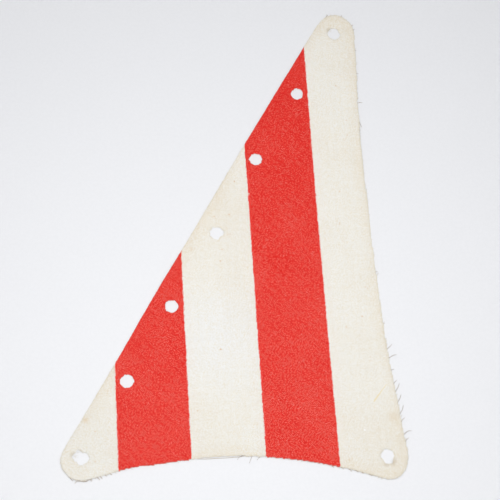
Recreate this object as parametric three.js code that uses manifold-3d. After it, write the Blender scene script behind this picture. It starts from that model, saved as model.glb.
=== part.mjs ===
// Triangular striped cloth sail for a toy ship.
//
// One die-cut piece of woven cotton cloth lies flat: a nearly straight luff (the long
// slanting edge) with five eyelet holes, a slightly hollow leech on the right, a
// hollow foot, and a rounded tip with one more hole at the head, the tack and the
// clew. Two red stripes are printed on each face. The ink soaks a little way into
// the yarns, so every stripe is a thin layer let into the cloth, flush with its face.
//
// Millimetres, +Z up. The back of the cloth rests on z = 0, +Y runs along the
// stripes towards the head, +X towards the clew. The origin is under the middle of
// the cloth's box.

import * as THREE from 'three';
import { mergeVertices } from 'three/addons/utils/BufferGeometryUtils.js';
import Module from 'manifold-3d';

// ---------------------------------------------------------------- dimensions
const CLOTH_THICKNESS = 0.45;      // plain-weave cotton, starched
const INK_DEPTH = 0.06;            // how far the print soaks into each face
const EYELET_SEGMENTS = 28;
const CURVE_STEP = 1.6;            // chord length along the curved edges

// Stripe edges, all parallel to Y.
const LUFF_STRIPE_X = [-40.75, -15.4];
const MAIN_STRIPE_X = [10.55, 36.0];

// The outline, counter-clockwise, as stations on its smooth runs.
// Head tip, from the leech round to the luff.
const HEAD_TIP = [
  [56.25, 80.1], [56.4, 82], [56.45, 83.95], [56.15, 85.9], [55.45, 87.8], [54.25, 89.4],
  [52.8, 90.8], [51.05, 91.7], [49.1, 92.1], [47.15, 91.9], [45.55, 91.1], [44.05, 89.8],
  [42.75, 88.25], [41.55, 86.6],
];
// Tack tip, from the luff round to the foot.
const TACK_TIP = [
  [-55, -69.15], [-56.05, -70.8], [-57.15, -72.5], [-58.2, -74.15], [-59.2, -75.9],
  [-60.05, -77.65], [-60.35, -79.55], [-60.15, -81.55], [-59.4, -83.4], [-58.3, -85],
  [-56.85, -86.35], [-55.1, -87.2], [-53.3, -87.5], [-51.45, -87.35], [-49.6, -86.95],
];
// Foot, a shallow hollow from the tack to the clew.
const FOOT = [
  [-45.7, -85.8], [-40.25, -84.4], [-34.55, -83.35], [-28.5, -82.9], [-22.6, -82.35],
  [-16.8, -81.8], [-11, -81.3], [-5.2, -81.15], [0.7, -81.2], [6.6, -81.65], [12.3, -82.3],
  [18.1, -83.15], [23.9, -84.1], [29.7, -85.35], [35.5, -86.8], [41.1, -88.3],
];
// Clew tip, from the foot round to the leech.
const CLEW_TIP = [
  [44.15, -89.25], [46.05, -89.95], [47.95, -90.6], [49.85, -91.3], [51.7, -91.85],
  [53.6, -92.1], [55.5, -91.8], [57.2, -90.95], [58.6, -89.55], [59.6, -87.9],
  [60.15, -86], [60.35, -84], [60.25, -81.95], [60.1, -79.95], [59.8, -77.85],
];
// Leech, slightly hollow, from the clew up to the head.
const LEECH = [
  [59.25, -71.25], [58.65, -64.35], [58, -57.45], [57.35, -50.55], [56.85, -43.75],
  [56.4, -36.85], [56.1, -30.05], [55.85, -23.15], [55.6, -16.25], [55.35, -9.4],
  [55.2, -2.4], [55.1, 4.6], [55, 11.5], [54.9, 18.5], [54.9, 25.5], [54.9, 32.4],
  [54.85, 39.4], [55, 46.2], [55.2, 53.1], [55.45, 60.1], [55.85, 66.8], [56.1, 73.7],
];

// Luff, from the head tip down to the tack tip: nearly straight, bowed out by 0.5 mm.
const LUFF = [
  [35.35, 76.95], [29.25, 67.25], [23.1, 57.6], [17.05, 47.9], [10.9, 38.2], [4.95, 28.45],
  [-1.1, 18.7], [-7.05, 8.9], [-13.05, -0.85], [-19.2, -10.5], [-25.25, -20.2],
  [-31.15, -30.05], [-37, -39.9], [-42.95, -49.65], [-48.95, -59.45],
];

// Eyelets: centre, punched diameter, and the way and length that wear has pulled the
// rim, if any. The five luff eyelets and the head and tack are about 32 mm apart.
const EYELETS = [
  { name: 'tack', at: [-52.95, -79.5], d: 4.9, pull: [-0.5, 0.2] },
  { name: 'luff_1', at: [-36.65, -52.7], d: 5.0, pull: [0, 0] },
  { name: 'luff_2', at: [-19.75, -25.55], d: 5.0, pull: [0, 0] },
  { name: 'luff_3', at: [-1.8, 1.95], d: 5.0, pull: [0, 0] },
  { name: 'luff_4', at: [14.35, 31.2], d: 5.0, pull: [0, 0] },
  { name: 'luff_5', at: [32.05, 58.1], d: 4.9, pull: [0, 0] },
  { name: 'head', at: [48.5, 83.6], d: 4.8, pull: [0, 0] },
  { name: 'clew', at: [53.05, -83.65], d: 4.9, pull: [0.2, -0.6] },
];

// ---------------------------------------------------------------- outline
// Points along a closed centripetal curve through the stations.
function alongCurve(stations, step) {
  const curve = new THREE.CatmullRomCurve3(
    stations.map(([x, y]) => new THREE.Vector3(x, y, 0)), true, 'centripetal');
  const n = Math.round(curve.getLength() / step);
  return curve.getSpacedPoints(n).slice(0, n).map((p) => new THREE.Vector2(p.x, p.y));
}

// One loop: from the tack round the foot, the clew and the leech to the head, and back
// down the luff.
function sailOutline() {
  return new THREE.Shape(alongCurve(
    [...TACK_TIP, ...FOOT, ...CLEW_TIP, ...LEECH, ...HEAD_TIP, ...LUFF], CURVE_STEP));
}

// ---------------------------------------------------------------- solids
const wasm = await Module();
wasm.setup();

function toSolid(geometry) {
  const g = geometry.clone();
  g.deleteAttribute('normal');
  g.deleteAttribute('uv');
  const merged = mergeVertices(g, 1e-4);
  return new wasm.Manifold(new wasm.Mesh({
    numProp: 3,
    vertProperties: new Float32Array(merged.attributes.position.array),
    triVerts: new Uint32Array(merged.index.array),
  }));
}

function toGeometry(solid) {
  const m = solid.getMesh();
  const g = new THREE.BufferGeometry();
  g.setAttribute('position', new THREE.BufferAttribute(new Float32Array(m.vertProperties), 3));
  g.setIndex(new THREE.BufferAttribute(new Uint32Array(m.triVerts), 1));
  g.computeVertexNormals();
  return g;
}

// A slab that spans the cloth's length between two X planes and two Z planes.
function slab([x0, x1], z0, z1) {
  const box = new THREE.BoxGeometry(x1 - x0, 260, z1 - z0);
  box.translate((x0 + x1) / 2, 0, (z0 + z1) / 2);
  return toSolid(box);
}

// The punch of an eyelet: a round, drawn out towards the side that the line has pulled.
function punch({ at, d, pull }) {
  const reach = Math.hypot(pull[0], pull[1]);
  const r = d / 2;
  const pts = [];
  for (let i = 0; i < EYELET_SEGMENTS; i++) {
    const a = (i / EYELET_SEGMENTS) * Math.PI * 2;
    const c = Math.cos(a);
    const s = Math.sin(a);
    const along = reach > 0 ? Math.max(0, (c * pull[0] + s * pull[1]) / reach) : 0;
    const k = along ** 3;
    pts.push(new THREE.Vector2(at[0] + r * c + pull[0] * k, at[1] + r * s + pull[1] * k));
  }
  const g = new THREE.ExtrudeGeometry(new THREE.Shape(pts), { depth: 4, bevelEnabled: false, steps: 1 });
  g.translate(0, 0, -2);
  return toSolid(g);
}

let blank = toSolid(new THREE.ExtrudeGeometry(sailOutline(), {
  depth: CLOTH_THICKNESS, bevelEnabled: false, steps: 1,
}));
for (const eyelet of EYELETS) blank = blank.subtract(punch(eyelet));

const TOP = [CLOTH_THICKNESS - INK_DEPTH, CLOTH_THICKNESS + 1];
const BACK = [-1, INK_DEPTH];
const prints = [
  ['luff_stripe_print_front', LUFF_STRIPE_X, TOP],
  ['main_stripe_print_front', MAIN_STRIPE_X, TOP],
  ['luff_stripe_print_back', LUFF_STRIPE_X, BACK],
  ['main_stripe_print_back', MAIN_STRIPE_X, BACK],
];

let cloth = blank;
const layers = [];
for (const [name, xs, [z0, z1]] of prints) {
  const band = slab(xs, z0, z1);
  layers.push([name, blank.intersect(band)]);
  cloth = cloth.subtract(band);
}

// ---------------------------------------------------------------- scene
const sail = new THREE.Group();

function addPiece(name, solid, colour, roughness) {
  const material = new THREE.MeshStandardMaterial({ color: colour, roughness, metalness: 0 });
  material.name = name;
  const mesh = new THREE.Mesh(toGeometry(solid), material);
  mesh.name = name;
  sail.add(mesh);
}

addPiece('sail_cloth', cloth, 0xeeebe0, 0.95);
for (const [name, solid] of layers) addPiece(name, solid, 0xe4463c, 0.82);

export default sail;
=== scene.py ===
"""A toy ship's triangular striped cloth sail, lying flat on a pale table.

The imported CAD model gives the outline, the eyelets and the printed stripes. This script cuts the same
sheet again as real cloth: a ragged cut at yarn scale, a gentle lie with slightly lifted tips, worn
eyelets, loose fibres, and woven, printed and aged materials made from nodes.
"""

import math

import bpy
import numpy as np
from mathutils import Matrix, Vector, kdtree
from mathutils.geometry import delaunay_2d_cdt


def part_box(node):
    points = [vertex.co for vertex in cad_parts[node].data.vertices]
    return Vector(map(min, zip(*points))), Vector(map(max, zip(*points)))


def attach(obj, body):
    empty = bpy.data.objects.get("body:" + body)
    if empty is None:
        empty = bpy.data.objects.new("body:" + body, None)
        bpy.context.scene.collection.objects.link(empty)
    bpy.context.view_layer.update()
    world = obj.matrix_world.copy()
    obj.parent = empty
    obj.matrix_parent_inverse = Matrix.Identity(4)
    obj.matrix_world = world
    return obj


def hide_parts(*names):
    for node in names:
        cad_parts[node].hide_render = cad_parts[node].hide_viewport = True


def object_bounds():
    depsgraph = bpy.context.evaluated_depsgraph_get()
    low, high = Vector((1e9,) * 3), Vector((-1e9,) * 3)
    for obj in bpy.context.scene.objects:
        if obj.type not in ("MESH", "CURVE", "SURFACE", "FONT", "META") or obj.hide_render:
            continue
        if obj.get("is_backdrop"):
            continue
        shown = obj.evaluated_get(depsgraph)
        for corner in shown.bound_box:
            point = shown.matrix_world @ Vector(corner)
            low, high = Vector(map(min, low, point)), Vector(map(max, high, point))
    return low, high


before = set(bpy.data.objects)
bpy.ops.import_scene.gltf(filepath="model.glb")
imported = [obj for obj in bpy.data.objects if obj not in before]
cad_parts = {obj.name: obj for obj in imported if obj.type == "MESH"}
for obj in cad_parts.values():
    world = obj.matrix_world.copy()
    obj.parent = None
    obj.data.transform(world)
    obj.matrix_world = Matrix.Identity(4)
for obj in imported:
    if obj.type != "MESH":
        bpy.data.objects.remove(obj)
CAD_LO, CAD_HI = (Vector(v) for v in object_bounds())
MM = 0.001

# ------------------------------------------------------------------ camera
# Where the eye is, in millimetres over the cloth's face: nearly overhead, from the foot's side.
EYE = np.array([-32.46, -183.91, 479.28])
TILT, ROLL, TURN = 0.36588, 0.18030, -0.23245
FACE = (CAD_HI.z - CAD_LO.z) / MM  # the cloth's thickness

cam_data = bpy.data.cameras.new("camera")
cam_data.sensor_width = 36.0
cam_data.lens = 100.8
cam_data.clip_start, cam_data.clip_end = 0.01, 20.0
cam = bpy.data.objects.new("camera", cam_data)
bpy.context.scene.collection.objects.link(cam)
cam.matrix_world = Matrix.Translation(Vector((EYE[0], EYE[1], EYE[2] + FACE)) * MM) @ (
    Matrix.Rotation(TURN, 4, "Z") @ Matrix.Rotation(TILT, 4, "X") @ Matrix.Rotation(ROLL, 4, "Z")
)
bpy.context.scene.camera = cam

# ------------------------------------------------------------------ cloth facts
YARN_X, YARN_Y = 0.352, 0.375  # pitch of the warp (side by side along X) and of the weft
INK = 0.06  # how deep the print soaks in
STRIPES = {
    "luff": ("luff_stripe_print_front", "luff_stripe_print_back"),
    "main": ("main_stripe_print_front", "main_stripe_print_back"),
}
rng = np.random.RandomState(4187)
RAND = rng.rand(9, 4096)


def r01(row, index):
    """A steady random number for each whole number."""
    return RAND[row][np.asarray(index, int) % 4096]


def wobble(t, row, pitch):
    """Smooth noise along a line, about -1 to 1, with one knot every pitch."""
    k = np.asarray(t, float) / pitch + 700
    i = np.floor(k)
    f = k - i
    f = f * f * (3 - 2 * f)
    return (r01(row, i) * (1 - f) + r01(row, i + 1) * f) * 2 - 1


def value_noise(x, y, row, pitch):
    """Smooth noise over the sheet, 0 to 1."""
    kx, ky = np.asarray(x) / pitch + 300, np.asarray(y) / pitch + 300
    ix, iy = np.floor(kx), np.floor(ky)
    fx, fy = kx - ix, ky - iy
    fx, fy = fx**3 * (fx * (fx * 6 - 15) + 10), fy**3 * (fy * (fy * 6 - 15) + 10)

    def at(a, b):
        return r01(row, a * 57 + b * 131)

    low = at(ix, iy) * (1 - fx) + at(ix + 1, iy) * fx
    high = at(ix, iy + 1) * (1 - fx) + at(ix + 1, iy + 1) * fx
    return low * (1 - fy) + high * fy


# ------------------------------------------------------------------ outline from the CAD cloth
def cut_loops(node, z):
    """The closed loops, in millimetres, where a node's upright walls cross the height z."""
    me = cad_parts[node].data
    me.calc_loop_triangles()
    co = np.array([v.co for v in me.vertices]) / MM
    points, cells, ends = [], {}, []

    def key(p):
        cx, cy = int(math.floor(p[0] * 50)), int(math.floor(p[1] * 50))
        for dx in (-1, 0, 1):
            for dy in (-1, 0, 1):
                for k in cells.get((cx + dx, cy + dy), ()):
                    if abs(points[k][0] - p[0]) + abs(points[k][1] - p[1]) < 0.004:
                        return k
        points.append(p)
        cells.setdefault((cx, cy), []).append(len(points) - 1)
        return len(points) - 1

    for t in me.loop_triangles:
        p = co[list(t.vertices)]
        under = p[:, 2] < z
        if under.all() or not under.any():
            continue
        hit = []
        for a, b in ((0, 1), (1, 2), (2, 0)):
            if under[a] != under[b]:
                k = (z - p[a, 2]) / (p[b, 2] - p[a, 2])
                hit.append(p[a, :2] + (p[b, :2] - p[a, :2]) * k)
        a, b = key(hit[0]), key(hit[1])
        if a != b:
            ends.append((a, b))
    near = {}
    for a, b in ends:
        near.setdefault(a, set()).add(b)
        near.setdefault(b, set()).add(a)
    loops, seen = [], set()
    for start in sorted(near):
        if start in seen:
            continue
        loop, at, last = [start], start, None
        seen.add(start)
        while True:
            onward = [n for n in sorted(near[at]) if n != last and n not in seen]
            if not onward:
                break
            last, at = at, onward[0]
            seen.add(at)
            loop.append(at)
        loops.append(np.array([points[i] for i in loop]))
    return loops


def area(loop):
    x, y = loop[:, 0], loop[:, 1]
    return 0.5 * float(np.sum(x * np.roll(y, -1) - np.roll(x, -1) * y))


def resample(loop, step):
    q = np.vstack([loop, loop[:1]])
    d = np.r_[0, np.cumsum(np.linalg.norm(np.diff(q, axis=0), axis=1))]
    n = max(12, int(round(d[-1] / step)))
    t = np.linspace(0, d[-1], n, endpoint=False)
    return np.c_[np.interp(t, d, q[:, 0]), np.interp(t, d, q[:, 1])]


def soften(loop, sigma):
    """Closed-loop smoothing, sigma counted in points."""
    k = np.arange(-int(4 * sigma), int(4 * sigma) + 1)
    w = np.exp(-0.5 * (k / sigma) ** 2)
    w /= w.sum()
    out = np.zeros_like(loop)
    for i, wi in zip(k, w):
        out += wi * np.roll(loop, -i, axis=0)
    return out


def outward(loop):
    t = np.roll(loop, -1, 0) - np.roll(loop, 1, 0)
    t /= np.linalg.norm(t, axis=1)[:, None] + 1e-12
    n = np.c_[t[:, 1], -t[:, 0]]
    return n if area(loop) > 0 else -n


def yarn_teeth(x, y, n, reach):
    """How far the cut yarn ends stand out at a point of a cut edge with normal n."""
    iu, iv = np.floor(x / YARN_X), np.floor(y / YARN_Y)
    fu, fv = x / YARN_X - iu, y / YARN_Y - iv
    end_u = np.sqrt(np.clip(1 - (2 * fu - 1) ** 2, 0, 1))
    end_v = np.sqrt(np.clip(1 - (2 * fv - 1) ** 2, 0, 1))
    weft = (r01(0, iv) * 1.5 - 0.55) * end_v
    warp = (r01(1, iu) * 1.5 - 0.55) * end_u
    return reach * (np.abs(n[:, 0]) * weft + np.abs(n[:, 1]) * warp)


def yarn_steps(x, y, n):
    """A cut that runs nearly along the yarns follows one yarn, then steps to the next."""
    u, v = x / YARN_X, y / YARN_Y
    qx = (u - np.floor(u) - 0.5) * YARN_X
    qy = (v - np.floor(v) - 0.5) * YARN_Y
    return -(qy * n[:, 1] * np.abs(n[:, 1]) ** 4 + qx * n[:, 0] * np.abs(n[:, 0]) ** 4)


loops = sorted(cut_loops("sail_cloth", FACE * 0.5), key=lambda q: -abs(area(q)))
rim = loops[0] if area(loops[0]) > 0 else loops[0][::-1]
rim = soften(resample(rim, 0.1), 6.0)
n_rim = outward(rim)

# The luff is a clean cut; the leech, the foot and the tips are more frayed.
luff_dir = np.array([0.5266, 0.8501])
luff_n = np.array([-luff_dir[1], luff_dir[0]])
on_luff = np.clip((n_rim @ luff_n - 0.93) / 0.06, 0, 1)
reach = 0.17 * (1 - on_luff) + 0.075 * on_luff
slow = wobble(np.arange(len(rim)) * 0.1, 2, 2.3) * 0.07 + wobble(np.arange(len(rim)) * 0.1, 3, 7.7) * 0.03
slow *= 1 - 0.6 * on_luff
steps = yarn_steps(rim[:, 0], rim[:, 1], n_rim) * (0.85 - 0.25 * on_luff)
# the tack's lower edge has frayed back a little, and left its outermost yarns loose
frayed = 0.34 * np.exp(-(((rim[:, 0] + 51.5) / 5.0) ** 2)) * (n_rim[:, 1] < -0.5)
OUTLINE = rim + n_rim * (yarn_teeth(rim[:, 0], rim[:, 1], n_rim, reach) + steps + slow - 0.02 - frayed)[:, None]

EYELETS = {}
for q in loops[1:]:
    c = q.mean(0)
    EYELETS[tuple(np.round(c, 1))] = q
NAMES = {
    "tack": (-53, -79.4),
    "luff_1": (-36.6, -52.7),
    "luff_2": (-19.8, -25.7),
    "luff_3": (-1.8, 1.9),
    "luff_4": (14.2, 31.1),
    "luff_5": (31.9, 58.0),
    "head": (48.4, 83.5),
    "clew": (53.0, -83.8),
}


def named_eyelet(spot):
    return min(EYELETS.items(), key=lambda kv: math.hypot(kv[0][0] - spot[0], kv[0][1] - spot[1]))[1]


# Rims of the eyelets, each as how far it leaves the punched round every 20 degrees, counter-clockwise
# from +X. The corner holes are pulled and frayed; the others only have a nibbled edge.
RIM_SHAPE = {
    "tack": [0.2, -0.19, 0.05, -0.34, -0.77, 0.47, 1.29, 0.27, 1.28, 0.41, 0.44, -0.18, 0.14, 0.11, -0.21, -0.35, -0.24, -0.18],
    "luff_1": [-0.18, -0.16, -0.04, -0.1, -0.05, 0.11, -0.36, -0.17, -0.11, 0.05, 0.15, -0.08, -0.12, 0.11, -0.13, -0.07, -0.17, -0.04],
    "luff_2": [-0.35, -0.14, -0.3, -0.07, -0.5, -0.46, -0.07, 0.14, 0.13, -0.12, -0.27, 0.29, -0.02, -0.14, 0.12, -0.11, -0.09, -0.13],
    "luff_3": [-0.29, 0.05, -0.45, -0.13, -0.32, -0.39, 0.42, 0.13, 0.59, 0.39, 0.29, 0.41, 0.27, 0.13, 0.14, -1.14, -0.51, -0.31],
    "luff_4": [-0.18, -0.18, -0.06, -0.32, -0.47, -0.18, -0.27, -0.3, 0.0, 0.5, -0.29, 0.14, -0.17, 0.09, -0.07, -0.13, -0.02, -0.26],
    "luff_5": [-0.55, -0.4, -0.06, -0.24, -0.15, 0.1, -0.45, -0.23, -0.26, -0.12, 0.07, 0.02, 0.09, 0.2, 0.04, -0.02, 0.03, -0.28],
    "head": [0.07, -0.49, -0.02, 0.17, 0.4, 0.41, 0.21, 0.12, 0.08, 0.0, -0.08, -0.06, -0.35, 0.16, 0.17, -0.0, 0.07, 0.14],
    "clew": [0.1, -0.19, 0.12, -0.36, -0.45, 0.11, -0.45, -0.14, -0.24, 0.16, -0.49, -0.42, -0.02, 0.17, -0.14, 0.16, -0.01, -0.48],
}
HOLES = {}
for name, spot in NAMES.items():
    q = resample(named_eyelet(spot), 0.09)
    if area(q) < 0:
        q = q[::-1]
    c = q.mean(0)
    q = soften(q, 3.0)
    n = outward(q)
    ang = np.degrees(np.arctan2(q[:, 1] - c[1], q[:, 0] - c[0])) % 360
    table = np.array(RIM_SHAPE[name] + RIM_SHAPE[name][:1])
    shape = np.interp(ang, np.arange(0, 361, 20), table)
    teeth = yarn_teeth(q[:, 0], q[:, 1], n, 0.16) + yarn_steps(q[:, 0], q[:, 1], n) * 0.8
    nibble = wobble(ang / 360 * 2 * math.pi * 2.5, 2 + len(HOLES) % 5, 0.62) * (0.20 if name in ("tack", "clew") else 0.11)
    HOLES[name] = (c, q + n * (shape * 0.7 - teeth + nibble * np.sin(np.radians(ang / 2)))[:, None])


# ------------------------------------------------------------------ stripe edges
def stripe_edge(nominal, bow, row):
    """A printed edge: the CAD line, bowed a little as the cloth is, stepping from yarn to yarn."""
    ys, xs = [], []
    j0, j1 = int(-96 / YARN_Y), int(96 / YARN_Y)
    for j in range(j0, j1):
        y = (j + 0.5) * YARN_Y
        x = nominal + bow * (((y + 4) / 80) ** 2 - 0.42)
        x += 0.06 * wobble(y, row, 5.3) + 0.06 * wobble(y, row + 1, 1.9)
        x += 0.32 * (float(r01(row, j + 2000)) - 0.5) + (0.08 if j % 2 else -0.08)
        if row == 6 and abs(y - 17.0) < 0.2:
            x += 0.45  # a nick in the print
        ys += [y - 0.5 * YARN_Y + 0.03, y + 0.5 * YARN_Y - 0.03]
        xs += [x, x]
    return np.array(ys), np.array(xs)


lo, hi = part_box("luff_stripe_print_front")
lo2, hi2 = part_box("main_stripe_print_front")
EDGES = {
    "luff": (stripe_edge(lo.x / MM, 0.02, 4), stripe_edge(hi.x / MM, 0.03, 5)),
    "main": (stripe_edge(lo2.x / MM, 0.12, 6), stripe_edge(hi2.x / MM, 0.38, 7)),
}


# ------------------------------------------------------------------ how the sheet lies
def lie(x, y):
    """Height of the cloth's back over the table, in millimetres."""
    w = 0.62 * value_noise(x, y, 0, 46.0) + 0.28 * value_noise(x + 11, y - 7, 1, 24.0)
    w += 0.10 * value_noise(x, y, 2, 9.0)
    h = 0.36 * np.clip((w - 0.30) * 1.9, 0, None) ** 1.3
    # the tips lift
    for (cx, cy), height, size in (((-60, -86), 0.30, 17.0), ((60, -91), 0.10, 17.0), ((50, 92), 0.06, 18.0)):
        d = np.hypot(x - cx, y - cy)
        h = h + height * np.clip(1 - d / size, 0, 1) ** 1.7
    # the foot rolls up a touch between the tips
    foot = np.clip(1 - (y + 81) / 9.0, 0, 1) * np.exp(-(((x + 4) / 26) ** 2))
    h = h + 0.12 * foot**2
    # punching the eyelets left the cloth about them pressed flat
    for cx, cy in NAMES.values():
        h = h * (1 - 0.85 * np.exp(-((np.hypot(x - cx, y - cy) / 5.5) ** 2)))
    # the worn rims of the clew's and the tack's eyelets stand up a little
    h = h + 0.06 * np.exp(-((np.hypot(x + 55.2, y + 78.6) / 1.5) ** 2))
    h = h + 0.06 * np.exp(-((np.hypot(x - 54.6, y + 86.6) / 1.5) ** 2))
    return h


# ------------------------------------------------------------------ flat pattern
coords, cons, faces_in = [], [], []


def add_loop(loop):
    start = len(coords)
    coords.extend(Vector((float(a), float(b))) for a, b in loop)
    faces_in.append(list(range(start, start + len(loop))))


add_loop(OUTLINE)
for name in NAMES:
    add_loop(HOLES[name][1])
for pair in EDGES.values():
    for ys, xs in pair:
        start = len(coords)
        coords.extend(Vector((float(a), float(b))) for a, b in zip(xs, ys))
        cons.extend((start + i, start + i + 1) for i in range(len(xs) - 1))

kd = kdtree.KDTree(len(coords))
for i, p in enumerate(coords):
    kd.insert((p.x, p.y, 0), i)
kd.balance()
fence = len(coords)
n_out = len(OUTLINE)
n_holes_end = n_out + sum(len(HOLES[k][1]) for k in NAMES)

ring = soften(resample(OUTLINE, 0.3), 3.0)
ring = ring - outward(ring) * 0.32
inner = [ring]
for name in NAMES:
    q = soften(resample(HOLES[name][1], 0.28), 2.0)
    inner.append(q + outward(q) * 0.3)
GRID = 0.8
gx = np.arange(-62, 62, GRID)
gy = np.arange(-94, 94, GRID * 0.8660254)
grid = np.array([(x + (GRID / 2 if j % 2 else 0), y) for j, y in enumerate(gy) for x in gx])
grid = grid + (np.random.RandomState(7).rand(*grid.shape) - 0.5) * 0.16
inner.append(grid)
for group, gap in zip(inner, [0.16] * (len(inner) - 1) + [0.42]):
    for x, y in group:
        _, i, d = kd.find((x, y, 0))
        if d > (gap if i < n_holes_end else 0.14):
            coords.append(Vector((float(x), float(y))))

out = delaunay_2d_cdt(coords, cons, faces_in, 0, 1e-6, True)
P2 = np.array([(v.x, v.y) for v in out[0]])
tris, kind = [], []
edge_x = {k: tuple((np.array(ys), np.array(xs)) for ys, xs in pair) for k, pair in EDGES.items()}
for f, src in zip(out[2], out[5]):
    if 0 not in src or any(s in src for s in range(1, len(faces_in))):
        continue
    if len(f) != 3:
        continue
    c = P2[list(f)].mean(0)
    k = 0
    for n, name in enumerate(("luff", "main"), 1):
        (ya, xa), (yb, xb) = edge_x[name]
        if np.interp(c[1], ya, xa) < c[0] < np.interp(c[1], yb, xb):
            k = n
    a, b, d = f
    q = P2[[a, b, d]]
    if (q[1, 0] - q[0, 0]) * (q[2, 1] - q[0, 1]) - (q[1, 1] - q[0, 1]) * (q[2, 0] - q[0, 0]) < 0:
        f = [a, d, b]
    tris.append(tuple(f))
    kind.append(k)
tris, kind = np.array(tris), np.array(kind)

# ------------------------------------------------------------------ thickness and lie
half = {}
for t, k in zip(tris, kind):
    for a, b in ((t[0], t[1]), (t[1], t[2]), (t[2], t[0])):
        half[(int(a), int(b))] = int(k)
rim_edges = [(e, k) for e, k in half.items() if (e[1], e[0]) not in half]
step_edges = [(e, k) for e, k in half.items() if k > 0 and half.get((e[1], e[0]), k) == 0]

N = len(P2)
rim_normal = np.zeros((N, 2))
for (a, b), _ in rim_edges:
    d = P2[b] - P2[a]
    d = np.array([d[1], -d[0]]) / (np.linalg.norm(d) + 1e-9)
    rim_normal[a] += d
    rim_normal[b] += d
is_rim = np.abs(rim_normal).sum(1) > 0
rim_normal[is_rim] /= np.linalg.norm(rim_normal[is_rim], axis=1)[:, None] + 1e-9

H = lie(P2[:, 0], P2[:, 1])
H -= H.min()
noise = np.random.RandomState(23).rand(N, 4)
LEVELS = (0.0, INK, FACE - INK, FACE)


def place(vid, level):
    """A corner of the sheet: level 0 to 3 from the back face to the front one, 4 half-way up a cut edge."""
    x, y = P2[vid]
    lift = H[vid]
    if level == 4:
        z = lift + FACE * (0.42 + 0.16 * noise[vid, 0])
        out_by = 0.05 * noise[vid, 1] - 0.01
    else:
        z = lift + LEVELS[level]
        out_by = 0.0
        if is_rim[vid]:
            if level >= 2:
                z -= 0.19 + 0.05 * noise[vid, 2]
                out_by = -0.03
            else:
                z += 0.03 + 0.03 * noise[vid, 3]
                out_by = -0.02
    x, y = x + rim_normal[vid, 0] * out_by, y + rim_normal[vid, 1] * out_by
    # a point that lifts stays on the same line of sight, so the outline keeps its measured shape
    x, y = x + (EYE[0] - x) * lift / EYE[2], y + (EYE[1] - y) * lift / EYE[2]
    return (x * MM, y * MM, z * MM)


def make_mesh(name, polys, materials):
    """polys: list of (corners, material index), each corner a (point, level)."""
    index, verts, faces, mats = {}, [], [], []
    for corners, m in polys:
        f = []
        for c in corners:
            if c not in index:
                index[c] = len(verts)
                verts.append(place(*c))
            f.append(index[c])
        faces.append(f)
        mats.append(m)
    me = bpy.data.meshes.new(name)
    me.from_pydata(verts, [], faces)
    for m in materials:
        me.materials.append(m)
    me.polygons.foreach_set("material_index", mats)
    me.polygons.foreach_set("use_smooth", [True] * len(faces))
    me.validate()
    me.update()
    me.set_sharp_from_angle(angle=math.radians(50))
    for label, values in (("rim_mm", RIM_MM), ("eye_mm", EYE_MM)):
        att = me.attributes.new(label, "FLOAT", "POINT")
        data = np.zeros(len(verts), np.float32)
        for (vid, _), i in index.items():
            data[i] = values[vid]
        att.data.foreach_set("value", data)
    ob = bpy.data.objects.new(name, me)
    bpy.context.scene.collection.objects.link(ob)
    return ob


def distance_to(loops_, points, cap):
    tree = kdtree.KDTree(sum(len(q) for q in loops_))
    i = 0
    for q in loops_:
        for a, b in q:
            tree.insert((a, b, 0), i)
            i += 1
    tree.balance()
    return np.array([min(cap, tree.find((x, y, 0))[2]) for x, y in points])


RIM_MM = distance_to([OUTLINE], P2, 30.0)
EYE_MM = distance_to([HOLES[k][1] for k in NAMES], P2, 30.0)


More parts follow.
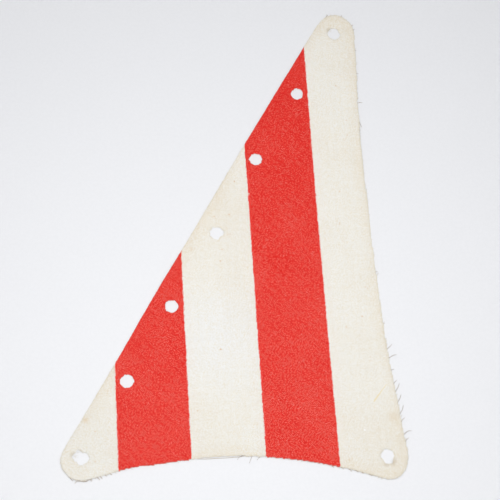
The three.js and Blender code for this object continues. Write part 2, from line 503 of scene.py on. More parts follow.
# ------------------------------------------------------------------ materials
class Graph:
    def __init__(self, name):
        self.mat = bpy.data.materials.new(name)
        self.mat.use_nodes = True
        self.tree = self.mat.node_tree
        self.tree.nodes.clear()
        self.out = self.tree.nodes.new("ShaderNodeOutputMaterial")
        self.bsdf = self.tree.nodes.new("ShaderNodeBsdfPrincipled")
        self.tree.links.new(self.bsdf.outputs[0], self.out.inputs[0])
        tc = self.tree.nodes.new("ShaderNodeTexCoord")
        self.mm = self.vec("SCALE", tc.outputs["Object"], scale=1000.0)
        sep = self.tree.nodes.new("ShaderNodeSeparateXYZ")
        self.put(self.mm, sep.inputs[0])
        self.x, self.y, self.z = sep.outputs

    def put(self, value, socket):
        if isinstance(value, bpy.types.NodeSocket):
            self.tree.links.new(value, socket)
        elif value is not None:
            socket.default_value = value

    def m(self, op, a, b=None, c=None, clamp=False):
        n = self.tree.nodes.new("ShaderNodeMath")
        n.operation, n.use_clamp = op, clamp
        for v, s in zip((a, b, c), n.inputs):
            self.put(v, s)
        return n.outputs[0]

    def vec(self, op, a, b=None, scale=None):
        n = self.tree.nodes.new("ShaderNodeVectorMath")
        n.operation = op
        self.put(a, n.inputs[0])
        if b is not None:
            self.put(b, n.inputs[1])
        if scale is not None:
            self.put(scale, n.inputs[3])
        return n.outputs["Value"] if op in ("LENGTH", "DISTANCE", "DOT_PRODUCT") else n.outputs[0]

    def xyz(self, x, y, z=0.0):
        n = self.tree.nodes.new("ShaderNodeCombineXYZ")
        for v, s in zip((x, y, z), n.inputs):
            self.put(v, s)
        return n.outputs[0]

    def mix(self, fac, a, b, blend="MIX"):
        n = self.tree.nodes.new("ShaderNodeMix")
        n.data_type, n.blend_type = "RGBA", blend
        self.put(fac, n.inputs[0])
        self.put(a, n.inputs[6])
        self.put(b, n.inputs[7])
        return n.outputs[2]

    def ease(self, v, a, b, c=0.0, d=1.0, smooth=True):
        n = self.tree.nodes.new("ShaderNodeMapRange")
        n.interpolation_type = "SMOOTHSTEP" if smooth else "LINEAR"
        n.clamp = True
        for val, s in zip((v, a, b, c, d), n.inputs):
            self.put(val, s)
        return n.outputs[0]

    def noise(self, vector, scale, detail=2.0, rough=0.5, lac=2.0):
        n = self.tree.nodes.new("ShaderNodeTexNoise")
        n.noise_dimensions = "2D"
        self.put(vector, n.inputs["Vector"])
        n.inputs["Scale"].default_value = scale
        n.inputs["Detail"].default_value = detail
        n.inputs["Roughness"].default_value = rough
        n.inputs["Lacunarity"].default_value = lac
        return n.outputs[0]

    def white(self, vector):
        n = self.tree.nodes.new("ShaderNodeTexWhiteNoise")
        n.noise_dimensions = "2D"
        self.put(vector, n.inputs["Vector"])
        return n.outputs[0]

    def attribute(self, name):
        n = self.tree.nodes.new("ShaderNodeAttribute")
        n.attribute_name = name
        return n.outputs["Fac"]

    def blob(self, x, y, r, soft=0.6):
        """1 at a spot, 0 past radius r."""
        d = self.vec("DISTANCE", self.flat, (x, y, 0.0))
        return self.ease(d, r * (1 - soft), r, 1.0, 0.0)

    def most(self, *values):
        v = values[0]
        for w in values[1:]:
            v = self.m("MAXIMUM", v, w)
        return v


def weave(g):
    """Plain weave over the sheet. Gives the height 0 to 1, the share of warp on top, and two yarn tones."""
    g.flat = g.xyz(g.x, g.y, 0.0)
    bend = g.noise(g.flat, 0.11, 2.0, 0.5)
    bend2 = g.noise(g.vec("ADD", g.flat, (37.0, 11.0, 0.0)), 0.13, 2.0, 0.5)
    u = g.m("MULTIPLY_ADD", g.m("SUBTRACT", bend, 0.5), 2.6, g.m("DIVIDE", g.x, YARN_X))
    v = g.m("MULTIPLY_ADD", g.m("SUBTRACT", bend2, 0.5), 2.6, g.m("DIVIDE", g.y, YARN_Y))
    iu, iv = g.m("FLOOR", u), g.m("FLOOR", v)
    fu, fv = g.m("SUBTRACT", u, iu), g.m("SUBTRACT", v, iv)

    def crown(f):
        k = g.m("MULTIPLY_ADD", f, 2.0, -1.0)
        return g.m("SUBTRACT", 1.0, g.m("MULTIPLY", k, k))

    over_w = g.m("SINE", g.m("MULTIPLY", g.m("ADD", v, iu), math.pi))
    over_f = g.m("MULTIPLY", g.m("SINE", g.m("MULTIPLY", g.m("ADD", u, iv), math.pi)), -1.0)
    slub_w = g.noise(g.xyz(g.m("MULTIPLY", iu, 0.61), g.m("MULTIPLY", g.y, 0.045)), 1.0, 1.0)
    slub_f = g.noise(g.xyz(g.m("MULTIPLY", g.x, 0.045), g.m("MULTIPLY", iv, 0.61)), 1.0, 1.0)
    hw = g.m("MULTIPLY", crown(fu), g.m("MULTIPLY_ADD", over_w, 0.5, 0.5))
    hf = g.m("MULTIPLY", crown(fv), g.m("MULTIPLY_ADD", over_f, 0.5, 0.5))
    hw = g.m("MULTIPLY", hw, g.m("MULTIPLY_ADD", slub_w, 0.5, 0.72))
    hf = g.m("MULTIPLY", hf, g.m("MULTIPLY_ADD", slub_f, 0.5, 0.72))
    height = g.m("MAXIMUM", hw, hf)
    floats = g.m("MULTIPLY", over_w, g.m("MULTIPLY", g.m("ADD", crown(fu), crown(fv)), 0.5))
    return {"h": height, "floats": floats, "slub_w": slub_w, "slub_f": slub_f, "u": u, "v": v, "iu": iu, "iv": iv}


def grain(g, u, v):
    """Each cell against its four neighbours: a fine grain with no coarse blotches, about -1 to 1."""
    u, v = g.m("ADD", g.m("FLOOR", u), 0.5), g.m("ADD", g.m("FLOOR", v), 0.5)
    total = g.white(g.xyz(u, v))
    for du, dv in ((1.0, 0.0), (-1.0, 0.0), (0.0, 1.0), (0.0, -1.0)):
        near = g.white(g.xyz(g.m("ADD", u, du), g.m("ADD", v, dv)))
        total = g.m("MULTIPLY_ADD", near, -0.25, total)
    return total


def lint(g, size, turn=0.6):
    """The same grain over a turned grid of small tufts, not tied to the yarns."""
    c, s = math.cos(turn) / size, math.sin(turn) / size
    a = g.m("MULTIPLY_ADD", g.x, c, g.m("MULTIPLY", g.y, s))
    b = g.m("MULTIPLY_ADD", g.y, c, g.m("MULTIPLY", g.x, -s))
    return grain(g, g.m("ADD", a, 900.0), g.m("ADD", b, 900.0))


SPECKS = [  # tan flecks on the cream cloth: x, y, radius in millimetres, strength
    (5.75, 22.26, 0.44, 0.75),
    (2.99, 9.07, 0.46, 0.75),
    (-2.6, 8.48, 0.4, 0.5),
    (-0.39, -4.64, 0.38, 0.6),
    (-1.26, -9.14, 0.42, 0.65),
    (-3.04, -42.56, 0.46, 0.85),
    (-12.4, -64.54, 0.38, 0.5),
    (48.87, -32.43, 0.42, 0.7),
    (44.95, 16.77, 0.38, 0.5),
    (47.18, 60.84, 0.38, 0.55),
    (49.95, 46.03, 0.38, 0.5),
    (49.78, 39.72, 0.38, 0.5),
    (-48.3, -70.3, 0.38, 0.45),
    (-48.57, -80.83, 0.4, 0.35),
]
CREAM = (0.868, 0.846, 0.781, 1.0)
CREAM_OLD = (0.825, 0.765, 0.650, 1.0)
RED = (0.806, 0.0265, 0.0160, 1.0)


def finish_bump(g, height, distance, strength=1.0):
    b = g.tree.nodes.new("ShaderNodeBump")
    b.inputs["Strength"].default_value = strength
    b.inputs["Distance"].default_value = distance
    g.put(height, b.inputs["Height"])
    g.put(b.outputs[0], g.bsdf.inputs["Normal"])


def fabric_shader(g, rough=0.92):
    g.bsdf.inputs["Roughness"].default_value = rough
    g.bsdf.inputs["Specular IOR Level"].default_value = 0.25
    g.bsdf.inputs["Sheen Weight"].default_value = 0.10
    g.bsdf.inputs["Sheen Roughness"].default_value = 0.45
    g.bsdf.inputs["Sheen Tint"].default_value = (1.0, 1.0, 1.0, 1.0)


def cream_colour(g, w):
    """The unprinted cloth: yarn tones with painted shade between the yarns, age at the edges and holes, flecks,
    one faint scratch, and dirt with painted shade on the corner eyelets' rims.
    """
    rim_mm, eye_mm = g.attribute("rim_mm"), g.attribute("eye_mm")
    patch = g.noise(g.flat, 0.045, 3.0, 0.55)
    patch2 = g.noise(g.vec("ADD", g.flat, (91.0, 17.0, 0.0)), 0.32, 3.0, 0.6)
    fine = g.noise(g.flat, 1.25, 2.0, 0.6)
    tips = g.most(g.m("MULTIPLY", g.blob(-54, -82, 24.0, 0.9), 0.1), g.blob(53, -85, 30.0, 0.9))
    tips = g.most(tips, g.m("MULTIPLY", g.blob(-14.0, 1.0, 17.0, 0.95), 1.1), g.m("MULTIPLY", g.blob(-2.0, 15.0, 17.0, 1.0), 0.9))
    edge = g.m("ADD", g.ease(rim_mm, 0.0, 5.5, 0.55, 0.0), g.ease(rim_mm, 0.0, 1.2, 0.25, 0.0))
    edge = g.m("ADD", edge, g.ease(eye_mm, 0.0, 2.2, 0.20, 0.0))
    edge = g.m("MULTIPLY", edge, g.m("MULTIPLY_ADD", g.blob(-54, -80, 26.0, 0.6), -0.85, 1.0))
    edge = g.m("ADD", edge, g.m("MULTIPLY", g.blob(49, 92, 17.0, 0.9), 0.45))
    old = g.m("ADD", edge, g.m("MULTIPLY", tips, 0.30))
    old = g.m("ADD", old, g.m("MULTIPLY_ADD", patch, 1.1, -0.45))
    old = g.m("MULTIPLY_ADD", g.blob(-3.0, -38.0, 28.0, 1.0), -0.24, old)
    old = g.m("ADD", old, g.m("MULTIPLY_ADD", patch2, 0.5, -0.25), clamp=True)
    col = g.mix(old, CREAM, CREAM_OLD)
    # warp and weft take the light a little differently, which is painted into the colour from their slubs, and the
    # gaps between yarns are darkened with painted shade
    tone_and_gap_shade = g.m("MULTIPLY_ADD", g.m("ADD", w["slub_w"], w["slub_f"]), 0.035, 0.965)
    tone_and_gap_shade = g.m("MULTIPLY", tone_and_gap_shade, g.m("MULTIPLY_ADD", w["h"], 0.09, 0.935))
    col = g.mix(1.0, col, g.xyz(tone_and_gap_shade, tone_and_gap_shade, tone_and_gap_shade), "MULTIPLY")
    # each yarn crossing has its own shade of cream
    blot = g.noise(g.vec("ADD", g.flat, (7.0, 43.0, 0.0)), 0.75, 3.0, 0.62)
    shade = g.m("ADD", g.m("MULTIPLY", grain(g, w["u"], w["v"]), 1.25), g.m("MULTIPLY_ADD", blot, 1.8, -0.90))
    shade = g.m("ADD", shade, g.m("MULTIPLY", lint(g, 0.50), 0.80))
    shade = g.m("ADD", shade, g.m("MULTIPLY_ADD", fine, 0.7, -0.35))
    shade = g.m("ADD", shade, g.m("MULTIPLY", w["floats"], 0.45))
    col = g.mix(g.ease(shade, 0.0, 1.3, 0.0, 1.0, False), col, (0.945, 0.890, 0.765, 1.0), "MULTIPLY")
    col = g.mix(g.ease(shade, 0.0, -1.3, 0.0, 0.70, False), col, (0.96, 0.955, 0.93, 1.0))
    # a little greyer towards the foot, and about the tack
    grey = g.m("MULTIPLY", g.ease(g.y, -80.0, 80.0, 0.972, 1.034, False), g.m("MULTIPLY_ADD", g.blob(-52, -72, 26.0, 0.9), -0.022, 1.0))
    col = g.mix(1.0, col, g.xyz(grey, grey, grey), "MULTIPLY")
    # a little duller along the main stripe's left edge
    dull = g.m("MULTIPLY", g.ease(g.m("ABSOLUTE", g.m("SUBTRACT", g.x, 6.0)), 3.0, 11.0, 1.0, 0.0), g.ease(g.m("ABSOLUTE", g.m("ADD", g.y, 5.0)), 18.0, 50.0, 1.0, 0.0))
    col = g.mix(dull, col, (0.982, 0.972, 0.962, 1.0), "MULTIPLY")
    # and whiter in the middle of the cloth, between the stripes
    col = g.mix(g.blob(-3.0, -38.0, 30.0, 1.0), col, (1.003, 1.020, 1.068, 1.0), "MULTIPLY")
    # flecks
    fleck = None
    for x, y, r, s in SPECKS:
        b = g.m("MULTIPLY", g.blob(x, y, r, 0.75), s)
        fleck = b if fleck is None else g.m("MAXIMUM", fleck, b)
    dust = g.white(g.xyz(g.m("FLOOR", g.m("DIVIDE", g.x, 1.7)), g.m("FLOOR", g.m("DIVIDE", g.y, 1.7))))
    dust = g.m("MULTIPLY", g.ease(dust, 0.986, 0.999, 0.0, 0.30), g.ease(fine, 0.52, 0.66))
    fleck = g.m("MAXIMUM", fleck, dust)
    col = g.mix(fleck, col, (0.66, 0.42, 0.19, 1.0))
    # a trace of ink has crept past the printed edges
    near = None
    for edge_x_mm in (-40.75, -15.4, 10.55, 36.0):
        d = g.m("ABSOLUTE", g.m("SUBTRACT", g.x, edge_x_mm))
        near = d if near is None else g.m("MINIMUM", near, d)
    creep = g.m("ADD", g.ease(near, 0.0, 0.45, 0.10, 0.0), g.ease(near, 0.0, 5.0, 0.022, 0.0))
    creep = g.m("MULTIPLY", creep, g.ease(patch2, 0.25, 0.70, 0.4, 1.5))
    col = g.mix(creep, col, (0.86, 0.33, 0.27, 1.0))
    # stains
    stain = g.most(
        g.m("MULTIPLY", g.blob(-51.5, -66.2, 1.6, 0.9), 0.38),
        g.m("MULTIPLY", g.blob(-12.5, 5.5, 6.0, 1.0), 0.10),
        g.m("MULTIPLY", g.blob(56.5, -70.0, 3.2, 1.0), 0.25),
    )
    col = g.mix(stain, col, (0.70, 0.52, 0.28, 1.0))
    white_fluff = g.most(g.blob(45.95, -74.3, 0.42, 0.5), g.m("MULTIPLY", g.blob(54.3, -75.2, 0.34, 0.5), 0.5))
    col = g.mix(white_fluff, col, (0.97, 0.97, 0.965, 1.0))
    # a faint scratch near the leech
    ax, ay, bx, by = 49.9, -64.5, 55.6, -57.7
    length = math.hypot(bx - ax, by - ay)
    tx, ty = (bx - ax) / length, (by - ay) / length
    along = g.vec("DOT_PRODUCT", g.vec("SUBTRACT", g.flat, (ax, ay, 0.0)), (tx, ty, 0.0))
    across = g.m("ABSOLUTE", g.vec("DOT_PRODUCT", g.vec("SUBTRACT", g.flat, (ax, ay, 0.0)), (-ty, tx, 0.0)))
    line = g.m("MULTIPLY", g.ease(across, 0.08, 0.26, 1.0, 0.0), g.m("MULTIPLY", g.ease(along, 0.0, 0.8), g.ease(along, length - 0.8, length, 1.0, 0.0)))
    col = g.mix(g.m("MULTIPLY", line, g.ease(along, 0.0, length, 0.75, 0.35)), col, (0.85, 0.70, 0.33, 1.0))
    # the rims of the clew's, the tack's and the head's eyelets are darkened brown-grey: partly dirt where the line
    # pulled, partly painted shade of the dented, frayed rims
    rim_grime_and_shade = g.most(
        g.m("MULTIPLY", g.blob(54.9, -86.0, 2.3, 0.8), 0.42),
        g.m("MULTIPLY", g.blob(52.4, -87.1, 1.5, 0.8), 0.42),
        g.m("MULTIPLY", g.blob(-55.8, -78.3, 1.9, 0.8), 0.42),
        g.m("MULTIPLY", g.blob(-53.6, -77.0, 1.1, 0.8), 0.35),
        g.m("MULTIPLY", g.blob(46.4, 85.4, 1.5, 0.8), 0.35),
    )
    rim_grime_and_shade = g.m("MULTIPLY", rim_grime_and_shade, g.ease(eye_mm, 0.9, 1.7, 1.0, 0.0))
    col = g.mix(rim_grime_and_shade, col, (0.56, 0.46, 0.33, 1.0))
    return col


def cloth_material():
    g = Graph("sail_cloth_cream")
    w = weave(g)
    g.put(cream_colour(g, w), g.bsdf.inputs["Base Color"])
    fabric_shader(g)
    pucker = g.noise(g.flat, 0.55, 2.0, 0.5)
    finish_bump(g, g.m("MULTIPLY_ADD", pucker, 1.2, w["h"]), 0.00004)
    return g.mat


def red_material():
    g = Graph("sail_red_print")
    w = weave(g)
    fine = g.noise(g.flat, 2.3, 2.0, 0.65)
    mid = g.noise(g.vec("ADD", g.flat, (5.0, 71.0, 0.0)), 0.62, 3.0, 0.6)
    wide = g.noise(g.vec("ADD", g.flat, (61.0, 3.0, 0.0)), 0.06, 2.0, 0.5)
    # bands on the bias, where the squeegee left the ink a little thinner
    bias = g.m("SINE", g.m("MULTIPLY", g.m("ADD", g.x, g.m("MULTIPLY", g.y, 0.95)), 1.55))
    bias = g.m("MULTIPLY", bias, g.noise(g.vec("ADD", g.flat, (9.0, 9.0, 0.0)), 0.12, 1.0))
    thin = g.m("MULTIPLY_ADD", fine, 1.0, -0.5)
    thin = g.m("ADD", thin, g.m("MULTIPLY", grain(g, w["u"], w["v"]), 2.8))
    thin = g.m("ADD", thin, g.m("MULTIPLY", lint(g, 0.47, 0.35), 1.2))
    thin = g.m("ADD", thin, g.m("MULTIPLY", w["floats"], 0.9))
    thin = g.m("ADD", thin, g.m("MULTIPLY_ADD", mid, 0.7, -0.35))
    thin = g.m("ADD", thin, g.m("MULTIPLY", bias, 0.28))
    thin = g.m("ADD", thin, g.m("MULTIPLY_ADD", wide, 0.9, -0.45))
    thin = g.m("ADD", thin, g.m("MULTIPLY_ADD", w["h"], -0.35, 0.17))
    # paler clouds in the print
    for x, y, r, k in ((13, -13, 19.0, 0.20), (-28, -16, 17.0, 0.18), (-41, -47, 12.0, 0.16), (28, -59, 12.0, 0.16), (27, -15, 14.0, -0.10)):
        thin = g.m("MULTIPLY_ADD", g.blob(x, y, r, 1.0), k, thin)
    thin = g.m("ADD", thin, g.ease(g.y, 70.0, -60.0, -0.42, 0.10, False))
    col = g.mix(g.ease(thin, -0.05, 1.55, 0.0, 0.80, False), RED, (0.865, 0.172, 0.134, 1.0))
    col = g.mix(g.ease(thin, -0.05, -0.95, 0.0, 1.0, False), col, (0.69, 0.013, 0.008, 1.0))
    # pin-holes where the ink missed a yarn
    miss = g.white(g.xyz(w["iu"], w["iv"]))
    miss = g.m("MULTIPLY", g.ease(miss, 0.975, 0.999, 0.0, 0.30), g.ease(w["h"], 0.35, 0.6))
    col = g.mix(miss, col, (0.88, 0.60, 0.52, 1.0))
    rub = g.ease(g.attribute("rim_mm"), 0.0, 0.5, 0.22, 0.0)
    col = g.mix(g.m("MULTIPLY", rub, g.ease(fine, 0.4, 0.6)), col, (0.86, 0.42, 0.34, 1.0))
    # painted shade in the gaps between yarns, and a little darker towards the foot
    tone_and_gap_shade = g.m("MULTIPLY", g.m("MULTIPLY_ADD", w["h"], 0.14, 0.91), g.ease(g.y, -70.0, 70.0, 0.985, 1.03, False))
    col = g.mix(1.0, col, g.xyz(tone_and_gap_shade, tone_and_gap_shade, tone_and_gap_shade), "MULTIPLY")
    g.put(col, g.bsdf.inputs["Base Color"])
    fabric_shader(g, 0.82)
    pucker = g.noise(g.flat, 0.55, 2.0, 0.5)
    finish_bump(g, g.m("MULTIPLY_ADD", pucker, 1.2, w["h"]), 0.000032)
    return g.mat


def cut_edge_material(name, dark, light):
    """The side of the sheet: cut yarn ends, tan and fibrous."""
    g = Graph(name)
    g.flat = g.xyz(g.x, g.y, 0.0)
    ends = g.noise(g.vec("MULTIPLY", g.mm, (1.0, 1.0, 2.2)), 2.9, 3.0, 0.65)
    fibre = g.tree.nodes.new("ShaderNodeTexNoise")
    g.put(g.mm, fibre.inputs["Vector"])
    fibre.inputs["Scale"].default_value = 7.0
    col = g.mix(g.ease(ends, 0.35, 0.65), dark, light)
    # the cut edge is a darker brown about the tack
    worn = g.m("MULTIPLY", g.blob(-56.0, -87.0, 11.0, 0.6), 0.6)
    col = g.mix(worn, col, (0.45, 0.34, 0.24, 1.0))
    g.put(col, g.bsdf.inputs["Base Color"])
    fabric_shader(g, 0.95)
    finish_bump(g, g.m("ADD", ends, fibre.outputs[0]), 0.00005)
    return g.mat


def fibre_material(name, dark, light):
    g = Graph(name)
    strand = g.noise(g.vec("MULTIPLY", g.mm, (1.0, 1.0, 1.0)), 3.4, 2.0, 0.6)
    g.put(g.mix(g.ease(strand, 0.3, 0.7), dark, light), g.bsdf.inputs["Base Color"])
    fabric_shader(g, 0.85)
    finish_bump(g, strand, 0.00002)
    return g.mat


CLOTH, PRINT = cloth_material(), red_material()
CUT = cut_edge_material("sail_cut_edge", (0.80, 0.72, 0.60, 1.0), (0.92, 0.88, 0.79, 1.0))
EYE_CUT = cut_edge_material("sail_eyelet_edge", (0.84, 0.79, 0.70, 1.0), (0.94, 0.92, 0.87, 1.0))
# the loose fibres are painted a darker grey-brown than the cloth: their own tan plus painted shade for the
# self-shadow of such thin strands
FIBRE_WITH_PAINTED_SHADE = fibre_material("loose_fibre_with_painted_shade", (0.27, 0.20, 0.15, 1.0), (0.52, 0.43, 0.34, 1.0))
YARN = fibre_material("loose_yarn", (0.45, 0.37, 0.28, 1.0), (0.74, 0.67, 0.55, 1.0))
TICK = fibre_material("cut_yarn_tick", (0.34, 0.26, 0.19, 1.0), (0.62, 0.53, 0.43, 1.0))
FUZZ = fibre_material("eyelet_fuzz", (0.55, 0.48, 0.39, 1.0), (0.80, 0.75, 0.65, 1.0))

# ------------------------------------------------------------------ the woven sheet
special = {v for e, _ in step_edges for v in e}
polys = []
for (a, b, c), k in zip(tris.tolist(), kind.tolist()):
    t, u = (3, 0) if k == 0 else (2, 1)
    polys.append((((a, t), (b, t), (c, t)), 0))
    polys.append((((a, u), (c, u), (b, u)), 0))
for (a, b), k in rim_edges:
    # the outside of the sheet is on the right of a to b
    top, low = (3, 0) if k == 0 else (2, 1)
    upper = [(a, 4), (b, 4)] + ([(b, 2)] if k == 0 and b in special else []) + [(b, top), (a, top)]
    upper += [(a, 2)] if k == 0 and a in special else []
    lower = [(a, low), (b, low)] + ([(b, 1)] if k == 0 and b in special else []) + [(b, 4), (a, 4)]
    lower += [(a, 1)] if k == 0 and a in special else []
    side = 2 if EYE_MM[a] < 0.2 and EYE_MM[b] < 0.2 else 1
    polys.append((tuple(upper), side))
    polys.append((tuple(lower), side))
for (a, b), k in step_edges:
    # a to b runs along the printed side; the step faces the print
    polys.append((((b, 2), (a, 2), (a, 3), (b, 3)), 0))
    polys.append((((b, 0), (a, 0), (a, 1), (b, 1)), 0))
sheet = make_mesh("woven_sail_cloth", polys, [CLOTH, CUT, EYE_CUT])

# ------------------------------------------------------------------ the printed layers
for n, name in enumerate(("luff", "main"), 1):
    mine = tris[kind == n].tolist()
    edges = {}
    for t in mine:
        for a, b in ((t[0], t[1]), (t[1], t[2]), (t[2], t[0])):
            edges[(a, b)] = True
    border = [e for e in edges if (e[1], e[0]) not in edges]
    for node, (low, top) in zip(STRIPES[name], ((2, 3), (0, 1))):
        polys = []
        for a, b, c in mine:
            polys.append((((a, top), (b, top), (c, top)), 0))
            polys.append((((a, low), (c, low), (b, low)), 0))
        for a, b in border:
            polys.append((((a, low), (b, low), (b, top), (a, top)), 0))
        ink = make_mesh(node.replace("print", "ink"), polys, [PRINT])
        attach(ink, "root")
        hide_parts(node)


# ------------------------------------------------------------------ loose fibres
def tube_mesh(name, strands, material, sides=6):
    """strands: list of (points in mm, radius at the root, radius at the tip)."""
    verts, faces = [], []
    for pts, r0, r1 in strands:
        p = np.asarray(pts, float)
        n = len(p)
        t = np.gradient(p, axis=0)
        t /= np.linalg.norm(t, axis=1)[:, None] + 1e-9
        base = len(verts)
        for i in range(n):
            side = np.cross(t[i], (0, 0, 1.0))
            side /= np.linalg.norm(side) + 1e-9
            up = np.cross(side, t[i])
            r = r0 + (r1 - r0) * (i / (n - 1)) ** 1.4
            for s in range(sides):
                a = 2 * math.pi * s / sides
                q = p[i] + (side * math.cos(a) + up * math.sin(a)) * r
                verts.append(tuple(q * MM))
        for i in range(n - 1):
            for s in range(sides):
                s2 = (s + 1) % sides
                a, b = base + i * sides, base + (i + 1) * sides
                faces.append((a + s, a + s2, b + s2, b + s))
        faces.append(tuple(base + s for s in reversed(range(sides))))
        faces.append(tuple(base + (n - 1) * sides + s for s in range(sides)))
    me = bpy.data.meshes.new(name)
    me.from_pydata(verts, [], faces)
    me.materials.append(material)
    me.polygons.foreach_set("use_smooth", [True] * len(faces))
    me.validate()
    me.update()
    ob = bpy.data.objects.new(name, me)
    bpy.context.scene.collection.objects.link(ob)
    return ob


def curve_through(points, n=14):
    """A smooth path through two or more points."""
    p = np.asarray(points, float)
    if len(p) == 2:
        mid = p.mean(0)
        mid[:2] += np.array([-(p[1] - p[0])[1], (p[1] - p[0])[0]]) * 0.10
        p = np.array([p[0], mid, p[1]])
    q = np.vstack([2 * p[0] - p[1], p, 2 * p[-1] - p[-2]])
    out_pts = []
    for i in range(1, len(q) - 2):
        for t in np.linspace(0, 1, n, endpoint=False):
            a, b, c, d = q[i - 1], q[i], q[i + 1], q[i + 2]
            out_pts.append(
                0.5 * (2 * b + (c - a) * t + (2 * a - 5 * b + 4 * c - d) * t**2 + (3 * b - a - 3 * c + d) * t**3)
            )
    out_pts.append(p[-1])
    return np.array(out_pts)


def height_at(x, y):
    i = int(np.argmin((P2[:, 0] - x) ** 2 + (P2[:, 1] - y) ** 2))
    return float(H[i])


def strand(points, root, tip, rise, start=0.22):
    """A fibre from the cut edge: starts in the sheet, ends at rise over the table."""
    p = [tuple(q) for q in points]
    h = height_at(*p[0])
    z = np.linspace(h + start, rise, len(p))
    return (curve_through([(x, y, zz) for (x, y), zz in zip(p, z)]), root, tip)


LEECH_FIBRES = [
    ([(56.6, -45.2), (57.9, -44.2), (58.66, -43.45)], 0.5),
    ([(57.0, -48.5), (58.75, -47.61), (59.93, -47.51)], 0.9),
    ([(57.0, -53.4), (58.56, -52.73)], 0.6),
    ([(57.7, -58.4), (59.16, -56.86)], 0.5),
    ([(58.0, -61.2), (59.3, -59.4), (59.84, -58.04)], 0.7),
    ([(58.4, -65.2), (59.6, -63.4), (60.02, -62.23)], 0.8),
    ([(58.8, -69.3), (60.0, -67.6), (60.44, -66.15)], 0.7),
    ([(59.0, -72.4), (60.59, -70.62)], 0.5),
    ([(59.6, -76.6), (61.08, -75.51), (62.4, -75.54)], 1.0),
    ([(59.8, -79.4), (61.31, -77.82)], 0.6),
    ([(55.3, 65.9), (56.5, 65.83)], 0.4),
    ([(55.0, 53.3), (56.9, 53.33)], 0.5),
    ([(54.8, 45.4), (55.4, 44.0), (55.78, 43.06)], 0.4),
    ([(55.2, -15.6), (56.33, -15.61)], 0.4),
    ([(55.9, -35.5), (56.9, -35.48)], 0.4),
]
FOOT_FIBRES = [
    ([(2.8, -81.1), (1.2, -81.76), (0.52, -82.6)], 0.5),
    ([(5.8, -81.3), (5.2, -82.6), (4.53, -84.07)], 0.6),
    ([(8.6, -81.7), (7.9, -82.4), (7.24, -83.11)], 0.5),
]
TIP_FIBRES = [
    ([(-50.9, -87.05), (-51.94, -87.53), (-52.99, -87.45), (-54.52, -87.2), (-55.4, -87.75), (-55.6, -88.1)], 0.5),
    ([(-50.7, -86.8), (-50.2, -87.1), (-49.9, -87.6)], 0.3),
    ([(-48.1, -86.3), (-47.5, -86.75), (-47.1, -87.3)], 0.3),
    ([(-46.9, -86.1), (-46.5, -86.5), (-46.2, -87.0)], 0.3),
    ([(-45.5, -85.5), (-45.0, -85.8), (-44.7, -86.15)], 0.3),
    ([(-43.8, -85.1), (-43.3, -85.4), (-42.95, -85.75)], 0.3),
    ([(-57.1, -85.9), (-56.9, -86.5), (-56.3, -87.1)], 0.3),
    ([(33.2, -86.2), (33.6, -86.7), (33.9, -87.1)], 0.3),
    ([(36.4, -87.0), (37.0, -87.4), (37.3, -87.8)], 0.3),
    ([(39.2, -87.8), (39.7, -88.2), (39.9, -88.8)], 0.3),
    ([(41.3, -88.3), (41.9, -88.6), (42.3, -89.1)], 0.3),
    ([(43.4, -88.9), (43.9, -89.4), (44.5, -89.5)], 0.3),
    ([(46.0, -89.9), (46.6, -90.2), (46.9, -90.7)], 0.3),
    ([(46.2, 91.4), (46.5, 91.9), (46.3, 92.3)], 0.3),
    ([(51.8, 91.2), (52.2, 91.5), (52.3, 91.9)], 0.3),
    ([(55.6, 87.0), (56.1, 87.2), (56.3, 87.6)], 0.3),
    ([(56.1, 85.0), (56.5, 85.3), (56.7, 85.7)], 0.3),
    ([(55.9, 76.0), (56.3, 76.1), (56.6, 76.4)], 0.3),
]
leech_fibres = tube_mesh("leech_frayed_fibres", [strand(p, 0.080, 0.050, r) for p, r in LEECH_FIBRES], FIBRE_WITH_PAINTED_SHADE)
foot_fibres = tube_mesh("foot_frayed_fibres", [strand(p, 0.075, 0.035, r) for p, r in FOOT_FIBRES], FIBRE_WITH_PAINTED_SHADE)
tip_fibres = tube_mesh("tip_frayed_fibres", [strand(p, 0.110, 0.055, r) for p, r in TIP_FIBRES], TICK)
LOOSE = [(-15.6, -81.3), (-10.69, -81.74), (-6.52, -81.72), (-2.0, -81.72), (2.19, -81.5), (3.2, -81.2)]
loose_yarn = tube_mesh("foot_loose_yarn", [strand(LOOSE, 0.085, 0.06, 0.22, 0.14)], YARN, 8)

# short stubs of cut yarn all round, and fuzz in the pulled holes
stub_rng = np.random.RandomState(611)
stubs = []
n_out_pts = outward(OUTLINE)
steps_made = []
for i in np.flatnonzero(stub_rng.rand(len(OUTLINE)) < 0.085 * (1 - 0.85 * on_luff)):
    p, n = OUTLINE[i], n_out_pts[i]
    side = np.array([-n[1], n[0]]) * (stub_rng.rand() - 0.5) * 0.9
    length = 0.12 + 0.34 * stub_rng.rand() ** 2.2
    a, b = p - n * 0.12, p + (n + side) * length
    h = height_at(*p)
    z0, z1 = h + FACE * (0.2 + 0.6 * stub_rng.rand()), h + FACE * stub_rng.rand() * 1.1
    stubs.append((curve_through([(a[0], a[1], z0), (b[0], b[1], max(0.05, z1))], 4), 0.045, 0.02))
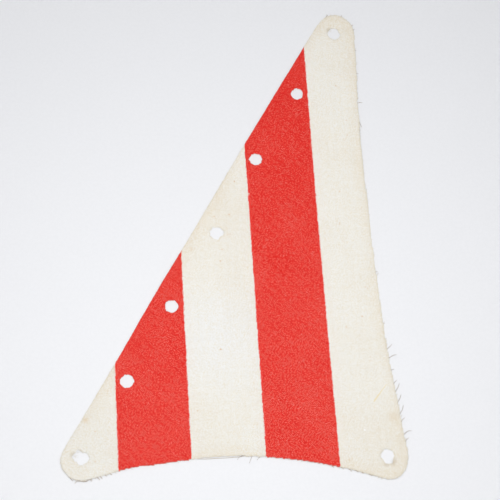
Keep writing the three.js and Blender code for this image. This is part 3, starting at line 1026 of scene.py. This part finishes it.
# where the cut steps from one yarn to the next, the end of the cut yarn sticks out
on_foot = (n_rim[:, 1] < -0.93) & (rim[:, 0] < 52)
on_leech = (n_rim[:, 0] > 0.93) & (rim[:, 1] < 60)
for i in range(len(rim)):
    k = (i + 1) % len(rim)
    if on_foot[i] and math.floor(rim[i, 1] / YARN_Y) != math.floor(rim[k, 1] / YARN_Y):
        heading = 1.0 if rim[k, 1] > rim[i, 1] else -1.0
        if stub_rng.rand() > 0.72:
            continue
        way = np.array([heading * (0.5 + 0.6 * stub_rng.rand()), -0.25 - 0.8 * stub_rng.rand()])
        length = 0.28 + 0.40 * stub_rng.rand() ** 1.5
    elif on_leech[i] and math.floor(rim[i, 0] / YARN_X) != math.floor(rim[k, 0] / YARN_X):
        if stub_rng.rand() > 0.6:
            continue
        way = np.array([0.4 + 0.6 * stub_rng.rand(), 0.9 * stub_rng.rand() + 0.1])
        length = 0.30 + 0.5 * stub_rng.rand() ** 1.6
    else:
        continue
    p = OUTLINE[i]
    a, m, b = p - way * 0.15, p + way * length * 0.55, p + way * length + np.array([0.0, 0.10]) * (stub_rng.rand() - 0.5)
    h = height_at(*p)
    pts = [(a[0], a[1], h + 0.24), (m[0], m[1], h + 0.26), (b[0], b[1], h + 0.12 + 0.35 * stub_rng.rand())]
    steps_made.append((curve_through(pts, 4), 0.075, 0.035))
step_fibres = tube_mesh("cut_yarn_ends", steps_made, YARN, 5)
for name in NAMES:
    c, q = HOLES[name]
    n = -outward(q)
    busy = {"tack": 0.08, "clew": 0.07, "head": 0.06, "luff_3": 0.05}.get(name, 0.04)
    for i in np.flatnonzero(stub_rng.rand(len(q)) < busy):
        p, m = q[i], n[i]
        side = np.array([-m[1], m[0]]) * (stub_rng.rand() - 0.5) * 1.6
        length = 0.10 + 0.26 * stub_rng.rand() ** 1.8
        a, b = p - m * 0.12, p + (m + side) * length
        h = height_at(*p)
        z0, z1 = h + FACE * (0.25 + 0.6 * stub_rng.rand()), h + FACE * stub_rng.rand() * 1.15
        stubs.append((curve_through([(a[0], a[1], z0), (b[0], b[1], max(0.05, z1))], 4), 0.04, 0.018))
edge_stubs = tube_mesh("cut_edge_yarn_stubs", stubs, YARN, 5)


def tuft(cx, cy, heading, spread, count, length, seed, height):
    r = np.random.RandomState(seed)
    made = []
    for _ in range(count):
        a = math.radians(heading + (r.rand() - 0.5) * spread)
        x, y = cx + (r.rand() - 0.5) * 1.3, cy + (r.rand() - 0.5) * 1.0
        step = length * (0.5 + r.rand())
        bow = (r.rand() - 0.5) * 0.9
        h = height_at(x, y) + FACE
        pts = []
        for t in np.linspace(0, 1, 4):
            aa = a + bow * t
            pts.append((x + math.cos(aa) * step * t, y + math.sin(aa) * step * t, h + height * math.sin(math.pi * t) * (0.3 + r.rand() * 0.7) - 0.03))
        made.append((curve_through(pts, 5), 0.035, 0.018))
    return made


fuzz = tuft(-55.9, -78.5, 20, 120, 6, 0.9, 5, 0.05)
fuzz += tuft(-54.6, -77.1, -10, 90, 3, 0.8, 9, 0.04)
fuzz += tuft(46.4, 84.9, 40, 120, 6, 1.0, 14, 0.15)
fuzz += tuft(55.2, -85.9, -140, 100, 6, 1.1, 21, 0.12)
eyelet_fuzz = tube_mesh("corner_eyelet_fuzz", fuzz, FUZZ, 5)

trims = [leech_fibres, foot_fibres, tip_fibres, loose_yarn, edge_stubs, step_fibres, eyelet_fuzz]
for piece in trims:
    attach(piece, "root")

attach(sheet, "root")
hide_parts("sail_cloth")

# ------------------------------------------------------------------ table and light

def table_top():
    profile = [(0.0, 0.0), (0.05, 0.0), (0.2, 0.0), (0.6, 0.0), (1.4, 0.0)]
    profile += [(1.4 + 0.9 * math.sin(a), 0.9 - 0.9 * math.cos(a)) for a in np.linspace(0.1, math.pi / 2, 14)]
    profile += [(2.3, 1.6), (2.3, 2.6)]
    turns = 96
    verts, faces = [(0.0, 0.0, -0.00002)], []
    for r, z in profile[1:]:
        for s in range(turns):
            a = 2 * math.pi * s / turns
            verts.append((r * math.cos(a), r * math.sin(a), z - 0.00002))
    for s in range(turns):
        faces.append((0, 1 + s, 1 + (s + 1) % turns))
    for i in range(len(profile) - 2):
        for s in range(turns):
            a, b = 1 + i * turns, 1 + (i + 1) * turns
            faces.append((a + s, b + s, b + (s + 1) % turns, a + (s + 1) % turns))
    me = bpy.data.meshes.new("table")
    me.from_pydata(verts, [], faces)
    me.polygons.foreach_set("use_smooth", [True] * len(faces))
    me.update()
    ob = bpy.data.objects.new("table", me)
    bpy.context.scene.collection.objects.link(ob)
    g = Graph("pale_table")
    g.flat = g.xyz(g.x, g.y, 0.0)
    grain = g.noise(g.flat, 0.9, 3.0, 0.6)
    col = g.mix(g.ease(grain, 0.3, 0.7), (0.856, 0.861, 0.880, 1.0), (0.870, 0.875, 0.894, 1.0))
    g.put(col, g.bsdf.inputs["Base Color"])
    g.bsdf.inputs["Roughness"].default_value = 0.7
    g.bsdf.inputs["Specular IOR Level"].default_value = 0.2
    me.materials.append(g.mat)
    ob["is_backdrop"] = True
    return ob


table_top()

world = bpy.data.worlds.new("studio")
bpy.context.scene.world = world
world.use_nodes = True
bg = world.node_tree.nodes["Background"]
bg.inputs[0].default_value = (1.0, 1.0, 1.0, 1.0)
bg.inputs[1].default_value = 0.64


def softbox(name, where, aim, size, power, colour=(1.0, 1.0, 1.0)):
    data = bpy.data.lights.new(name, "AREA")
    data.shape = "RECTANGLE"
    data.size, data.size_y = size
    data.energy = power
    data.color = colour
    ob = bpy.data.objects.new(name, data)
    bpy.context.scene.collection.objects.link(ob)
    ob.location = where
    ob.rotation_euler = (Vector(aim) - Vector(where)).to_track_quat("-Z", "Y").to_euler()
    ob.visible_camera = False
    return ob


softbox("front_softbox", (-0.032, -0.140, 0.380), (-0.032, -0.1401, 0.0), (0.18, 0.18), 0.424)
softbox("overhead_softbox", (0.010, -0.020, 0.300), (0.010, -0.0201, 0.0), (0.18, 0.18), 0.3165)

view = bpy.context.scene.view_settings
view.view_transform = "Standard"
view.look = "None"
view.exposure = 0.0
view.gamma = 1.0
